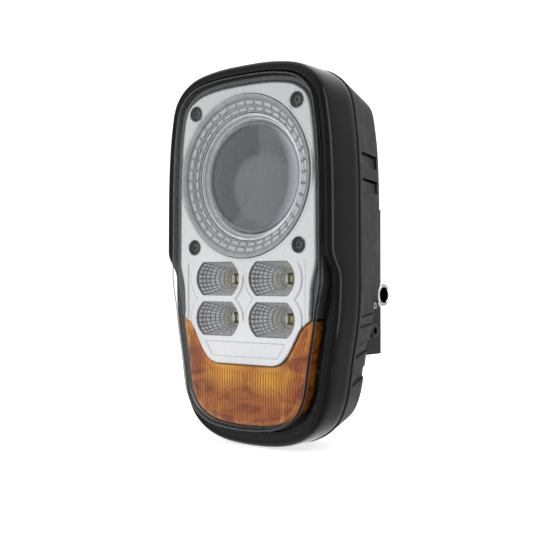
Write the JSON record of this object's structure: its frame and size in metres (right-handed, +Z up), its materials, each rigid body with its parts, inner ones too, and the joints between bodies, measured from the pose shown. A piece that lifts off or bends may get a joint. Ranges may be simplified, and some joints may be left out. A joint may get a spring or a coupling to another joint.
{
  "type": "car headlight assembly",
  "caption": "Combination headlight with projector, light ring, high-beam reflectors and amber indicator in a black housing, tilting on a steel bracket.",
  "frame": {"origin": "centre of the bracket's flat back face", "axes": "+Y points out of the bracket's flat back face, +Z is up along the lamp's height, the light shines towards -Y and +X is the viewer's right from the front"},
  "size_m": [0.1472, 0.1105, 0.2674],
  "materials": {
    "clear_plastic": "clear polished polycarbonate",
    "glass": "clear polished glass",
    "gloss_black": "gloss",
    "satin_black": "satin with a fine cast texture",
    "bracket_black": "black powder coat",
    "dark_grey": "satin",
    "silver": "vapour-metallised, satin silver",
    "chrome": "polished",
    "mirror_grey": "metallised reflector",
    "steel": "zinc plated",
    "black_steel": "black oxide",
    "aluminium": "as cast",
    "amber": "translucent amber",
    "rubber": "matte",
    "board_white": "white solder mask",
    "board_green": "green solder mask",
    "nylon": "natural nylon",
    "brass": "plated terminals",
    "wire_red": "wire insulation",
    "wire_black": "wire insulation",
    "wire_yellow": "wire insulation"
  },
  "bodies": {
    "bracket": {"mount_bracket": "bracket_black", "pivot_sleeve": "chrome", "sleeve_clip_left": "steel", "sleeve_clip_right": "steel"},
    "lamp_head": {"amber_optic": "amber", "board_screw_lower_left": "steel", "board_screw_lower_right": "steel", "board_screw_upper_left": "steel", "board_screw_upper_right": "steel", "border_frame": "dark_grey", "breather_vent": "rubber", "carrier_frame": "dark_grey", "carrier_screw_lower_left": "steel", "carrier_screw_lower_right": "steel", "carrier_screw_upper_left": "steel", "carrier_screw_upper_right": "steel", "connector_seal": "rubber", "connector_socket": "satin_black", "cutoff_shield": "black_steel", "driver_board": "board_green", "earth_screw": "steel", "front_frame": "gloss_black", "high_beam_board": "board_white", "high_beam_heatsink": "aluminium", "indicator_board": "board_white", "lens_gasket": "rubber", "lock_screw_left": "black_steel", "lock_screw_right": "black_steel", "lock_washer_left": "black_steel", "lock_washer_right": "black_steel", "low_beam_board": "board_white", "low_beam_heatsink": "aluminium", "outer_lens": "clear_plastic", "pivot_bush_left": "nylon", "pivot_bush_right": "nylon", "projector_bowl": "mirror_grey", "projector_collar": "chrome", "projector_glass": "glass", "projector_holder": "aluminium", "rear_housing": "satin_black", "reflector_lower_left": "mirror_grey", "reflector_lower_right": "mirror_grey", "reflector_upper_left": "mirror_grey", "reflector_upper_right": "mirror_grey", "ring_board": "board_white", "ring_guide": "clear_plastic", "silver_trim": "silver", "terminal_block": "brass", "trim_screw_lower_left": "black_steel", "trim_screw_lower_right": "black_steel", "trim_screw_upper_left": "black_steel", "trim_screw_upper_right": "black_steel", "wire_indicator": "wire_black", "wire_low_beam": "wire_yellow", "wire_ring_light": "wire_red"}
  },
  "joints": [
    {"name": "tilt", "type": "hinge", "parent": "bracket", "child": "lamp_head", "pos_m": [0, -0.0164, -0.0082], "axis": [1, 0, 0], "range_deg": [-10, 10]}
  ]
}
